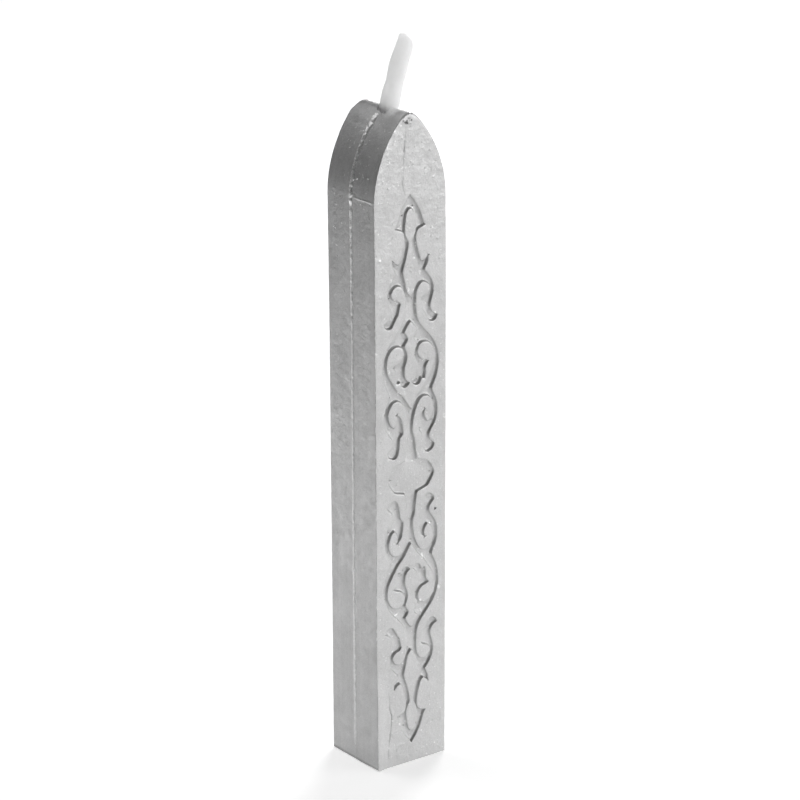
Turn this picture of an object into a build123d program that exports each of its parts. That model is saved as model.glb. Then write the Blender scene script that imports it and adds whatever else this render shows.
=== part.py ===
"""Sealing wax stick: two wax halves round a waxed wick, with a sunk scroll ornament on both broad faces.

Millimetres. The origin is the middle of the base, +Z runs up the stick and the front face looks along -Y.
"""

import math
import os

from build123d import *

# Wax bar
BODY_WIDTH = 11.5
BODY_DEPTH = 10.2
BODY_HEIGHT = 90.0
ARCH_RISE = 10.8
SHOULDER_BREAK = math.radians(3.5)
APEX_ROUND = 1.6
EDGE_ROUND = 0.2

# Bead of wax along the parting line
BEAD_WIDTH = 0.5
BEAD_RISE = 0.18
BEAD_FOOT = 1.9

# Sunk ornament
RELIEF_DEPTH = 0.45
ORNAMENT_SIDE_MARGIN = 1.2
ORNAMENT_FOOT_MARGIN = 2.8
ORNAMENT_SHOULDER_OVERLAP = 0.2
CUTTER_LEAD = 1.0

# Wick, from the middle outwards
CORE_DIAMETER = 0.9
BRAID_THICKNESS = 0.58
COAT_THICKNESS = 0.18
LAYER_CLEARANCE = 0.02
CHANNEL_CLEARANCE = 0.02

# Wick, along its run: straight in the bar, then three bends and a short straight end
WICK_FOOT = 0.6
BEND_DEPTH = 2.05
FIRST_BEND = math.radians(17.5)
FIRST_BEND_RADIUS = 7.0
SECOND_BEND = math.radians(-1.5)
SECOND_BEND_RADIUS = 200.0
THIRD_BEND = math.radians(8.0)
THIRD_BEND_RADIUS = 16.0
TIP_LENGTH = 1.2
TIP_ROUND = 0.3

# Size at which the ornament is drawn below; it is stretched to the panel of the bar
DRAWN_HALF_WIDTH = 4.55
DRAWN_HALF_HEIGHT = 38.3

# Edge of the sunk field, upper right quarter, from the spear point down to mid height.
# Each row is one smooth run of (across, up) points from one sharp corner to the next.
FIELD_RUNS = [
    [(0, 38.3), (0.63, 37.5), (1.1, 36.8), (1.52, 36.0), (1.82, 35.2), (2.1, 34.4), (2.4, 33.95)],
    [(2.4, 33.95), (1.8, 33.75), (1.2, 33.45), (0.97, 32.9), (0.95, 32.0), (1.1, 31.1), (1.37, 30.2),
     (1.6, 29.55), (1.96, 29.15)],
    [(1.96, 29.15), (2.4, 29.45), (2.9, 29.9)],
    [(2.9, 29.9), (2.8, 29.0), (2.45, 28.3), (2.3, 27.9)],
    [(2.3, 27.9), (2.77, 27.4), (3.2, 26.8), (3.54, 26.1), (3.68, 25.2), (3.6, 24.5), (3.4, 23.8),
     (3.22, 23.2), (3.22, 22.7), (3.4, 22.25), (3.75, 21.9), (4.35, 21.6)],
    [(4.35, 21.6), (4.1, 21.05), (3.6, 20.78), (3.05, 20.9), (2.7, 21.4), (2.35, 22.0), (1.95, 22.6),
     (1.8, 23.3), (1.62, 23.95)],
    [(1.62, 23.95), (1.95, 24.35), (2.6, 24.6), (3.0, 24.95), (3.1, 25.45), (2.75, 26.05), (2.15, 26.35),
     (1.6, 26.2), (1.2, 25.75), (0.95, 25.2), (0.86, 24.3), (0.86, 23.2), (0.92, 22.4), (1.05, 21.75),
     (1.4, 20.95), (2.1, 20.05), (2.9, 19.2), (3.6, 18.35), (4.1, 17.4), (4.43, 16.4), (4.55, 15.3),
     (4.46, 14.4), (4.2, 13.3), (3.8, 12.4), (3.42, 11.6)],
    [(3.42, 11.6), (3.66, 11.0), (4.0, 10.3), (4.25, 9.5), (4.32, 8.6), (4.25, 7.7), (3.95, 6.9),
     (3.55, 6.25), (3.12, 5.65), (3.02, 5.1), (3.2, 4.6), (3.85, 3.95)],
    [(3.85, 3.95), (3.75, 3.5), (3.45, 3.15), (2.95, 2.9), (2.5, 2.95), (2.2, 3.3), (2.08, 3.7),
     (1.93, 4.4), (1.88, 5.0), (1.72, 5.65), (1.3, 6.2)],
    [(1.3, 6.2), (1.32, 6.9), (1.45, 7.8), (1.72, 8.5), (2.3, 9.0)],
    [(2.3, 9.0), (2.2, 8.5), (2.24, 8.0), (2.45, 7.55), (2.75, 7.2)],
    [(2.75, 7.2), (3.25, 7.65), (3.58, 8.4), (3.66, 9.2), (3.42, 10.0), (2.9, 10.6), (2.15, 10.78),
     (1.5, 10.4), (1.0, 9.6), (0.63, 8.75), (0.38, 7.7), (0.27, 6.6), (0.36, 5.9), (0.6, 5.2), (0.7, 4.4),
     (0.78, 3.55), (0.9, 2.8), (1.05, 2.3)],
    [(1.05, 2.3), (1.85, 2.1), (2.7, 1.8), (3.25, 1.1), (3.65, 0.45), (3.78, 0)],
]

# Raised core of the spear, right half
CORE_LEAF_RUNS = [
    [(0, 36.45), (0.3, 36.25), (0.57, 35.75), (0.75, 34.9), (0.86, 34.0), (0.84, 33.2), (0.57, 32.6),
     (0.3, 32.1), (0.32, 31.4), (0.5, 30.6), (0.75, 29.7), (1.07, 28.8), (1.25, 28.1)],
    [(1.25, 28.1), (1.12, 27.4), (0.9, 26.6), (0.68, 25.75), (0.45, 25.2), (0, 24.65)],
]

# Raised heart of the scroll with its leafy inner edge, right half
HEART_RUNS = [
    [(0, 21.35), (0.4, 20.9), (0.7, 20.5), (1.05, 19.95)],
    [(1.05, 19.95), (0.6, 19.45), (0.45, 18.95), (0.75, 18.5), (1.05, 18.1)],
    [(1.05, 18.1), (0.72, 17.4), (0.57, 16.7), (0.7, 16.0), (0.98, 15.3), (1.04, 14.6), (0.93, 13.86),
     (0.63, 13.35), (0.18, 13.05)],
    [(0.18, 13.05), (0.5, 12.65), (1.0, 12.5), (1.43, 12.7), (1.75, 13.35)],
    [(1.75, 13.35), (2.05, 13.2), (2.25, 13.2)],
    [(2.25, 13.2), (2.4, 13.9), (2.42, 14.6), (2.6, 15.1), (2.95, 15.46)],
    [(2.95, 15.46), (2.5, 15.72), (1.75, 15.98), (1.28, 16.5), (1.12, 17.2), (1.35, 17.85), (1.95, 18.18),
     (2.75, 18.1), (3.4, 17.55), (3.82, 16.7), (3.93, 15.9), (3.82, 15.1), (3.6, 14.45), (3.3, 13.9),
     (2.77, 13.05), (2.23, 12.25), (1.6, 11.6), (1.07, 11.0), (0.54, 10.2), (0, 9.4)],
]

# Sizes that follow from the ones above
shoulder_height = BODY_HEIGHT - ARCH_RISE
braid_bore = CORE_DIAMETER / 2 + LAYER_CLEARANCE
braid_radius = braid_bore + BRAID_THICKNESS
coat_bore = braid_radius + LAYER_CLEARANCE
wick_radius = coat_bore + COAT_THICKNESS
channel_radius = wick_radius + CHANNEL_CLEARANCE
ornament_half_width = BODY_WIDTH / 2 - ORNAMENT_SIDE_MARGIN
ornament_top = shoulder_height + ORNAMENT_SHOULDER_OVERLAP
ornament_half_height = (ornament_top - ORNAMENT_FOOT_MARGIN) / 2
ornament_middle = (ornament_top + ORNAMENT_FOOT_MARGIN) / 2


def flank_arc():
    """Radius and centre of the arc that joins the right shoulder to the rounded apex."""
    rise = BODY_HEIGHT - APEX_ROUND - shoulder_height
    half = BODY_WIDTH / 2
    reach = half**2 + rise**2 - APEX_ROUND**2
    span = BODY_WIDTH * math.cos(SHOULDER_BREAK) - 2 * rise * math.sin(SHOULDER_BREAK) - 2 * APEX_ROUND
    radius = reach / span
    across = half - radius * math.cos(SHOULDER_BREAK)
    up = shoulder_height - radius * math.sin(SHOULDER_BREAK)
    return radius, across, up


def bar_outline(grow, foot):
    """Outline of the broad face, grown outwards all round from a given foot, as a face on y = 0."""
    radius, across, up = flank_arc()
    radius += grow
    apex_radius = APEX_ROUND + grow
    apex_up = BODY_HEIGHT - APEX_ROUND
    half = BODY_WIDTH / 2 + grow
    start_turn = math.acos((half - across) / radius)
    end_turn = math.atan2(apex_up - up, -across)
    shoulder = up + radius * math.sin(start_turn)

    def flank_point(turn, side):
        return (side * (across + radius * math.cos(turn)), 0, up + radius * math.sin(turn))

    middle_turn = (start_turn + end_turn) / 2
    edges = [Edge.make_line((-half, 0, foot), (half, 0, foot))]
    for side in (1, -1):
        edges.append(Edge.make_line((side * half, 0, foot), (side * half, 0, shoulder)))
        turns = (start_turn, middle_turn, end_turn)
        edges.append(Edge.make_three_point_arc(*[flank_point(turn, side) for turn in turns]))
    crown = (0, 0, apex_up + apex_radius)
    edges.append(Edge.make_three_point_arc(flank_point(end_turn, 1), crown, flank_point(end_turn, -1)))
    return Face(Wire(edges))


def slab(face, start, length):
    """A face on the plane y = 0 carried to y = start and drawn out along +Y."""
    return Pos(0, start, 0) * extrude(face, amount=length, dir=(0, 1, 0))


def panel_point(across, up):
    """A drawn point of the ornament, stretched to the panel, on the plane y = 0."""
    x = across * ornament_half_width / DRAWN_HALF_WIDTH
    z = ornament_middle + up * ornament_half_height / DRAWN_HALF_HEIGHT
    return (x, 0, z)


def mirrored_edges(runs, across_sign, up_sign):
    """Smooth edges through the drawn runs, mirrored across or up."""
    edges = []
    for run in runs:
        edges.append(Edge.make_spline([panel_point(across_sign * x, up_sign * z) for x, z in run]))
    return edges


def ornament_cutter():
    """The sunk field with its raised islands left standing, ready to cut the front face."""
    quarters = [(1, 1), (-1, 1), (1, -1), (-1, -1)]
    field = []
    for across_sign, up_sign in quarters:
        field += mirrored_edges(FIELD_RUNS, across_sign, up_sign)
    islands = []
    for up_sign in (1, -1):
        for runs in (CORE_LEAF_RUNS, HEART_RUNS):
            islands.append(Wire(mirrored_edges(runs, 1, up_sign) + mirrored_edges(runs, -1, up_sign)))
    face = Face(Wire(field), islands)
    return slab(face, -BODY_DEPTH / 2 - CUTTER_LEAD, CUTTER_LEAD + RELIEF_DEPTH)


def wick_path():
    """Run of the wick on the plane y = 0: up the bar, three tangent bends and the straight tip."""
    point = Vector(0, 0, WICK_FOOT)
    bend_start = Vector(0, 0, BODY_HEIGHT - BEND_DEPTH)
    edges = [Edge.make_line(point, bend_start)]
    point = bend_start
    lean = 0.0
    bends = [
        (FIRST_BEND, FIRST_BEND_RADIUS),
        (SECOND_BEND, SECOND_BEND_RADIUS),
        (THIRD_BEND, THIRD_BEND_RADIUS),
    ]
    for turn, radius in bends:
        stops = []
        for share in (0.5, 1.0):
            chord = 2 * radius * math.sin(abs(turn) * share / 2)
            heading = lean + turn * share / 2
            stops.append(point + Vector(math.sin(heading), 0, math.cos(heading)) * chord)
        edges.append(Edge.make_three_point_arc(point, *stops))
        point = stops[-1]
        lean += turn
    tip = point + Vector(math.sin(lean), 0, math.cos(lean)) * TIP_LENGTH
    edges.append(Edge.make_line(point, tip))
    return Wire(edges)


def rod(path, radius):
    """A round rod along a path that starts straight up."""
    section = Plane(path @ 0, z_dir=(0, 0, 1)) * Circle(radius)
    return sweep(section, path=path)


def shortened(path, amount):
    """The same path with its end drawn back along its straight tip."""
    return path.trim(0, 1 - amount / path.length)


def moulding(profile):
    """One plain half of the bar, its broad face rounded along every edge but the base edge."""
    half = slab(profile, -BODY_DEPTH / 2, BODY_DEPTH / 2)
    front = half.faces().sort_by(Axis.Y)[0]
    outer_edges = front.edges().sort_by(Axis.Z)[1:]
    return fillet(outer_edges, EDGE_ROUND)


os.makedirs("parts", exist_ok=True)

path = wick_path()
coat = fillet(rod(path, wick_radius).edges().group_by(Axis.Z)[-1], TIP_ROUND)
inner_path = shortened(path, COAT_THICKNESS + LAYER_CLEARANCE)
coat -= rod(inner_path, coat_bore)
braid_path = shortened(path, COAT_THICKNESS + 2 * LAYER_CLEARANCE)
braid = rod(braid_path, braid_radius) - rod(braid_path, braid_bore)
core = rod(braid_path, CORE_DIAMETER / 2)

# The channel is a straight bore from base to crown, opened to the side where the wick leans out
channel = Pos(0, 0, -CUTTER_LEAD) * extrude(Circle(channel_radius), BODY_HEIGHT + 2 * CUTTER_LEAD)
channel += rod(path, channel_radius)

profile = bar_outline(0, 0)
front_half = moulding(profile) - ornament_cutter()
rear_half = Rot(0, 0, 180) * front_half
front_half -= channel
rear_half -= channel

bead_ring = slab(bar_outline(BEAD_RISE, BEAD_FOOT), -BEAD_WIDTH / 2, BEAD_WIDTH)
bead_ring -= slab(profile, -BEAD_WIDTH, 2 * BEAD_WIDTH)
bead_ring -= channel
bead_left, bead_right = bead_ring.solids().sort_by(Axis.X)

nodes = {
    "front_half": front_half,
    "rear_half": rear_half,
    "seam_bead_left": bead_left,
    "seam_bead_right": bead_right,
    "wick_core": core,
    "wick_braid": braid,
    "wick_coat": coat,
}
for name, shape in nodes.items():
    export_step(shape, f"parts/{name}.step")
    print(name, round(shape.volume, 3), shape.is_valid)
print("wick length", round(path.length, 2), "volume of the rod", round(rod(path, wick_radius).volume, 3))
print("section times length", round(math.pi * wick_radius**2 * path.length, 3))
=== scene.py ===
"""Sealing wax stick, dressed: cast silver halves with a sunk ornament, torn seam beads and a waxed wick.

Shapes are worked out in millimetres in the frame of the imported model, and meshes are scaled to metres.
"""

import math

import bpy
import numpy as np
from mathutils import Matrix, Vector, noise
from mathutils.geometry import delaunay_2d_cdt
from mathutils.kdtree import KDTree


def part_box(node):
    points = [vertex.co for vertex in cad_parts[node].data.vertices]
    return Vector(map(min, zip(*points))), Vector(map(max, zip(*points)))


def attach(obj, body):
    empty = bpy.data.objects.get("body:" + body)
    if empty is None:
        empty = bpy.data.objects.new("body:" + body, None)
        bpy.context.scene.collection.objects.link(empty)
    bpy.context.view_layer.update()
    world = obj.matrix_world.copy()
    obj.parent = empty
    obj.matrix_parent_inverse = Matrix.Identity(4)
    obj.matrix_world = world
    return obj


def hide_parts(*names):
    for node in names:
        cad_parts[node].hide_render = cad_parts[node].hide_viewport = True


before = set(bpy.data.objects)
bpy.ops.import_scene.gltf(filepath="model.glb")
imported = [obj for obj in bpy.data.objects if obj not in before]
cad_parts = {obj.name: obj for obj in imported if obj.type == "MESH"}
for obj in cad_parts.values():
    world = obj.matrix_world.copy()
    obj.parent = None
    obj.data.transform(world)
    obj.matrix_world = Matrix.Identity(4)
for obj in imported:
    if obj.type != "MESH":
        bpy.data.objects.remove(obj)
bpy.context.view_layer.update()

MM = 0.001


def box_corners(node):
    """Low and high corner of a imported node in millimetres, to a hundredth."""
    return [[round(value / MM, 2) for value in corner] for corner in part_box(node)]


# Wax bar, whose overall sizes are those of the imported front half
half_low, half_high = box_corners("front_half")
BODY_WIDTH = half_high[0] - half_low[0]
BODY_DEPTH = -2 * half_low[1]
BODY_HEIGHT = half_high[2]
BAR_MIDDLE = (0, 0, BODY_HEIGHT / 2)
SHOULDER_HEIGHT = 79.2
SHOULDER_BREAK = math.radians(3.5)
APEX_ROUND = 1.6
CROWN_LEAN = -0.2
FLARE = 0.006
BASE_CORNER = 0.22
SIDE_EDGE_ROUND = 0.08
CROWN_EDGE_ROUND = 0.28
REAR_CROWN_ROUND = 0.6
BASE_EDGE_ROUND = 0.1
PERIMETER_STEP = 0.24
CORNER_STEP = 0.07
SHOULDER_STEP = CORNER_STEP * 1.5
# Lengths of side above the base and below the shoulder, and turn of the arch, that take finer steps
FOOT_ZONE = 0.9
SHOULDER_ZONE = 1.2
SHOULDER_TURN = 0.05
EDGE_RINGS = 5
WALL_RINGS = 19
FRONT_SEED = 1
REAR_SEED = 2
# Chip beside the wick, and the middle and reach of the pale smear in front of it
CHIP_PLACE = (-1.0, -1.0, 89.8)
CHIP_RADII = (0.7, 0.75, 0.65)
SMEAR_PLACE = (-0.7, -2.3, 89.9)
SMEAR_REACH = 1.6
# Heights between which the wax of a bead goes from its lower to its upper tone and roughness; the left bead's
# paler tone towards the arch is partly painted light
TONE_FROM = 58
TONE_TO = 80

# Sunk ornament, drawn about the middle of the panel
ORNAMENT_MIDDLE = 41.1
RELIEF_DEPTH = 0.36
OUTLINE_STEP = 0.12
PANEL_STEP = 0.25
SCATTERED_DOTS = 60
# How far the outlines wander, and over what length
WANDER = 0.035
WANDER_LENGTH = 2.2
# Distance into the sunk field and the share of the full depth there
WALL_PROFILE = [(-0.06, 0.0), (-0.01, 0.05), (0.04, 0.33), (0.08, 0.57), (0.13, 0.74), (0.2, 0.85),
                (0.32, 0.93), (0.5, 0.98)]
# How far walls that face up, and worn ones that face down, slope into the sunk field
CRISP_REACH = 0.2
SLACK_REACH = 1.0
# Share of a wall's depth that takes such a slope where the wall faces straight up or down
SLOPE_SHARE = 0.5

# Hairlines in the front face, each with its depth and half width
FRONT_HAIRLINES = [
    ([(-0.5, 88.6), (-0.68, 87.9), (-0.86, 86.4), (-0.93, 85.2), (-1.15, 84.0), (-1.1, 83.0), (-1.2, 82.0),
      (-1.25, 80.8), (-1.07, 79.8), (-0.92, 79.3), (-0.85, 78.8)], 0.06, 0.12),
    ([(-3.86, 11.1), (-3.66, 8.6), (-3.33, 7.3), (-3.59, 4.9), (-3.94, 2.7), (-4.03, 0.6)], 0.1, 0.13),
    ([(3.35, 9.7), (3.2, 9.0), (3.3, 8.3)], -0.05, 0.14),
    ([(3.3, 5.6), (2.5, 4.8), (1.7, 3.9)], -0.04, 0.12),
    ([(5.05, 6.4), (5.07, 5.3), (5.0, 4.4)], -0.05, 0.1),
    ([(-1.35, 3.0), (-1.9, 2.95), (-2.4, 2.6), (-2.45, 1.7)], -0.05, 0.12),
]
# Pits (positive depth) and lumps (negative) in the front face: across, up, radius, depth
FRONT_DOTS = [(-0.45, 88.85, 0.3, 0.45), (-0.02, 89.25, 0.2, -0.14), (-0.9, 89.05, 0.17, -0.12),
              (0.4, 89.05, 0.19, -0.12), (0.15, 88.65, 0.16, -0.09), (4.0, 35.75, 0.2, 0.32)]

# Wick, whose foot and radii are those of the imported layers
coat_low = box_corners("wick_coat")[0]
WICK_FOOT = coat_low[2]
COAT_RADIUS = -coat_low[0]
BRAID_RADIUS = -box_corners("wick_braid")[0][0]
YARN_RADIUS = -box_corners("wick_core")[0][0]
LAYER_GAP = 0.02
COAT_BORE = round(BRAID_RADIUS + LAYER_GAP, 2)
BRAID_BORE = round(YARN_RADIUS + LAYER_GAP, 2)
CHANNEL_RADIUS = round(COAT_RADIUS + 2 * LAYER_GAP, 2)
SOAKED_FROM = 87.5
WICK_ROUTE = [(0, WICK_FOOT), (0, 30), (0, 60), (0, 84), (0, 87.2), (0.19, 89.2), (0.57, 90.9),
              (1.19, 92.8), (1.67, 94.4), (2.12, 95.9), (2.67, 97.2), (3.21, 98.35), (3.45, 98.95)]
# Heights in the wick and how much thicker it is there than inside the bar
WICK_SWELL = [(88.0, 0.0), (90.5, 0.01), (91.8, -0.01), (93.0, -0.13), (93.8, -0.03), (95.5, 0.01),
              (96.6, -0.05), (98.5, -0.08)]

# Edge of the sunk field, upper right quarter, each row one smooth run between sharp corners
FIELD_RUNS = [
    [(0, 38.3), (0.63, 37.5), (1.1, 36.8), (1.52, 36.0), (1.82, 35.2), (2.1, 34.4), (2.4, 33.95)],
    [(2.4, 33.95), (1.8, 33.75), (1.2, 33.45), (0.97, 32.9), (0.95, 32.0), (1.1, 31.1), (1.37, 30.2),
     (1.6, 29.55), (1.96, 29.15)],
    [(1.96, 29.15), (2.4, 29.45), (2.9, 29.9)],
    [(2.9, 29.9), (2.8, 29.0), (2.45, 28.3), (2.3, 27.9)],
    [(2.3, 27.9), (2.77, 27.4), (3.2, 26.8), (3.54, 26.1), (3.68, 25.2), (3.6, 24.5), (3.4, 23.8),
     (3.22, 23.2), (3.22, 22.7), (3.4, 22.25), (3.75, 21.9), (4.35, 21.6)],
    [(4.35, 21.6), (4.1, 21.05), (3.6, 20.78), (3.05, 20.9), (2.7, 21.4), (2.35, 22.0), (1.95, 22.6),
     (1.8, 23.3), (1.62, 23.95)],
    [(1.62, 23.95), (1.95, 24.35), (2.6, 24.6), (3.0, 24.95), (3.1, 25.45), (2.75, 26.05), (2.15, 26.35),
     (1.6, 26.2), (1.2, 25.75), (0.95, 25.2), (0.86, 24.3), (0.86, 23.2), (0.92, 22.4), (1.05, 21.75),
     (1.4, 20.95), (2.1, 20.05), (2.9, 19.2), (3.6, 18.35), (4.1, 17.4), (4.43, 16.4), (4.55, 15.3),
     (4.46, 14.4), (4.2, 13.3), (3.8, 12.4), (3.42, 11.6)],
    [(3.42, 11.6), (3.66, 11.0), (4.0, 10.3), (4.25, 9.5), (4.32, 8.6), (4.25, 7.7), (3.95, 6.9),
     (3.55, 6.25), (3.12, 5.65), (3.02, 5.1), (3.2, 4.6), (3.85, 3.95)],
    [(3.85, 3.95), (3.75, 3.5), (3.45, 3.15), (2.95, 2.9), (2.5, 2.95), (2.2, 3.3), (2.08, 3.7),
     (1.93, 4.4), (1.88, 5.0), (1.72, 5.65), (1.3, 6.2)],
    [(1.3, 6.2), (1.32, 6.9), (1.45, 7.8), (1.72, 8.5), (2.3, 9.0)],
    [(2.3, 9.0), (2.2, 8.5), (2.24, 8.0), (2.45, 7.55), (2.75, 7.2)],
    [(2.75, 7.2), (3.25, 7.65), (3.58, 8.4), (3.66, 9.2), (3.42, 10.0), (2.9, 10.6), (2.15, 10.78),
     (1.5, 10.4), (1.0, 9.6), (0.63, 8.75), (0.38, 7.7), (0.27, 6.6), (0.36, 5.9), (0.6, 5.2), (0.7, 4.4),
     (0.78, 3.55), (0.9, 2.8), (1.05, 2.3)],
    [(1.05, 2.3), (1.85, 2.1), (2.7, 1.8), (3.25, 1.1), (3.65, 0.45), (3.78, 0)],
]

# Raised core of the spear, right half
CORE_LEAF_RUNS = [
    [(0, 36.45), (0.3, 36.25), (0.57, 35.75), (0.75, 34.9), (0.86, 34.0), (0.84, 33.2), (0.57, 32.6),
     (0.3, 32.1), (0.32, 31.4), (0.5, 30.6), (0.75, 29.7), (1.07, 28.8), (1.25, 28.1)],
    [(1.25, 28.1), (1.12, 27.4), (0.9, 26.6), (0.68, 25.75), (0.45, 25.2), (0, 24.65)],
]

# Raised heart of the scroll with its leafy inner edge, right half
HEART_RUNS = [
    [(0, 21.35), (0.4, 20.9), (0.7, 20.5), (1.05, 19.95)],
    [(1.05, 19.95), (0.6, 19.45), (0.45, 18.95), (0.75, 18.5), (1.05, 18.1)],
    [(1.05, 18.1), (0.72, 17.4), (0.57, 16.7), (0.7, 16.0), (0.98, 15.3), (1.04, 14.6), (0.93, 13.86),
     (0.63, 13.35), (0.18, 13.05)],
    [(0.18, 13.05), (0.5, 12.65), (1.0, 12.5), (1.43, 12.7), (1.75, 13.35)],
    [(1.75, 13.35), (2.05, 13.2), (2.25, 13.2)],
    [(2.25, 13.2), (2.4, 13.9), (2.42, 14.6), (2.6, 15.1), (2.95, 15.46)],
    [(2.95, 15.46), (2.5, 15.72), (1.75, 15.98), (1.28, 16.5), (1.12, 17.2), (1.35, 17.85), (1.95, 18.18),
     (2.75, 18.1), (3.4, 17.55), (3.82, 16.7), (3.93, 15.9), (3.82, 15.1), (3.6, 14.45), (3.3, 13.9),
     (2.77, 13.05), (2.23, 12.25), (1.6, 11.6), (1.07, 11.0), (0.54, 10.2), (0, 9.4)],
]


def wobble(point, size, seed):
    """Smooth noise between about -1 and 1 with features of the given size in millimetres."""
    x, y, z = point
    return noise.noise(Vector((x / size + seed * 17.3, y / size - seed * 9.1, z / size + seed * 5.7)))


def smooth_run(points, step):
    """Points along a smooth curve through a run of drawn points, its last point left out."""
    drawn = np.array(points, float)
    before_first = 2 * drawn[0] - drawn[1]
    after_last = 2 * drawn[-1] - drawn[-2]
    padded = np.array([before_first, *drawn, after_last])
    curve = []
    for before, start, stop, after in zip(padded, padded[1:], padded[2:], padded[3:]):
        count = max(1, round(float(np.linalg.norm(stop - start)) / step))
        for t in np.arange(count) / count:
            leave = (stop - before) / 2
            arrive = (after - start) / 2
            t2 = t * t
            t3 = t2 * t
            curve.append((2 * t3 - 3 * t2 + 1) * start + (t3 - 2 * t2 + t) * leave
                         + (3 * t2 - 2 * t3) * stop + (t3 - t2) * arrive)
    return curve


def drawn_line(runs, step):
    """One open line through several runs, with its last point."""
    line = []
    for run in runs:
        line += smooth_run(run, step)
    line.append(np.array(runs[-1][-1], float))
    return np.array(line)


def ornament_loops():
    """Closed outlines of the ornament, sunk ground always on the left of the direction of travel."""
    quarter = drawn_line(FIELD_RUNS, OUTLINE_STEP)
    lower = quarter[::-1][1:] * (1, -1)
    right = np.concatenate([quarter, lower])
    field = np.concatenate([right, right[::-1][1:-1] * (-1, 1)])
    loops = [field[::-1]]
    for runs in (CORE_LEAF_RUNS, HEART_RUNS):
        side = drawn_line(runs, OUTLINE_STEP)
        island = np.concatenate([side, side[::-1][1:-1] * (-1, 1)])
        loops.append(island)
        loops.append(island[::-1] * (1, -1))
    return loops


def turned(vectors, angle):
    """Plane vectors turned by an angle."""
    c, s = math.cos(angle), math.sin(angle)
    return np.array([vectors[0] * c - vectors[1] * s, vectors[0] * s + vectors[1] * c])


def outline_normals(loop):
    """Indices into a closed outline with directions into the sunk ground, fanned out at sharp corners."""
    ahead = np.roll(loop, -1, axis=0) - loop
    ahead /= np.linalg.norm(ahead, axis=1)[:, None]
    behind = np.roll(ahead, 1, axis=0)
    rays = []
    for index, (a, b) in enumerate(zip(behind, ahead)):
        turn = math.atan2(a[0] * b[1] - a[1] * b[0], float(a @ b))
        steps = max(1, round(abs(turn) / 0.35))
        inward = np.array([-a[1], a[0]])
        if steps == 1:
            rays.append((index, turned(inward, turn / 2)))
            continue
        for k in range(steps + 1):
            rays.append((index, turned(inward, turn * k / steps)))
    return rays


def wall_slack(loop):
    """Slack of the wall at each point of an outline: 1 where it faces down, 0 sideways and -1 up."""
    way = np.roll(loop, -1, axis=0) - np.roll(loop, 1, axis=0)
    level = -way[:, 0] * np.abs(way[:, 0]) / np.sum(way ** 2, axis=1)
    reach = 3
    return sum(np.roll(level, k) for k in range(-reach, reach + 1)) / (2 * reach + 1)


def wall_share(distance, slack):
    """Share of the full depth at a distance into the sunk field, from a wall of the given slack."""
    distances, shares = zip(*WALL_PROFILE)
    plain = float(np.interp(distance, distances, shares))
    if slack > 0:
        return plain + (ease(distance, distances[0], SLACK_REACH) - plain) * slack * SLOPE_SHARE
    return plain - (ease(distance, distances[0], CRISP_REACH) - plain) * slack


def relief_lines(seed):
    """The ornament's outlines, level lines across its walls, and a tree of the outlines with their slack."""
    loops = []
    for loop in ornament_loops():
        wander = [(wobble((x, z, 0), WANDER_LENGTH, seed), wobble((x, 9.0, z), WANDER_LENGTH, seed))
                  for x, z in loop]
        loops.append(loop + WANDER * np.array(wander))
    count = sum(len(loop) for loop in loops)
    tree = KDTree(count)
    index = 0
    for loop in loops:
        for x, z in loop:
            tree.insert((x, z, 0), index)
            index += 1
    tree.balance()
    lines = []
    slacks = [wall_slack(loop) for loop in loops]
    for loop, slack in zip(loops, slacks):
        rays = outline_normals(loop)
        for distance, _ in WALL_PROFILE:
            line = []
            for index, inward in rays:
                x, z = loop[index] + inward * distance
                clear = tree.find((x, z, 0))[2]
                if clear < abs(distance) * 0.96 - 0.004:
                    line.append(None)
                else:
                    line.append((x, z, wall_share(distance, slack[index])))
            line.append(line[0])
            lines.append(line)
    return loops, lines, tree, np.concatenate(slacks)


def sunk(points, loops):
    """True for each point that lies in the sunk field."""
    inside = np.zeros(len(points), bool)
    for loop in loops:
        start = loop
        stop = np.roll(loop, -1, axis=0)
        for (x0, z0), (x1, z1) in zip(start, stop):
            rows = (points[:, 1] < z0) != (points[:, 1] < z1)
            if rows.any():
                cross = x0 + (points[rows, 1] - z0) * (x1 - x0) / (z1 - z0)
                inside[np.flatnonzero(rows)[points[rows, 0] < cross]] ^= True
    return inside


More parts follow.
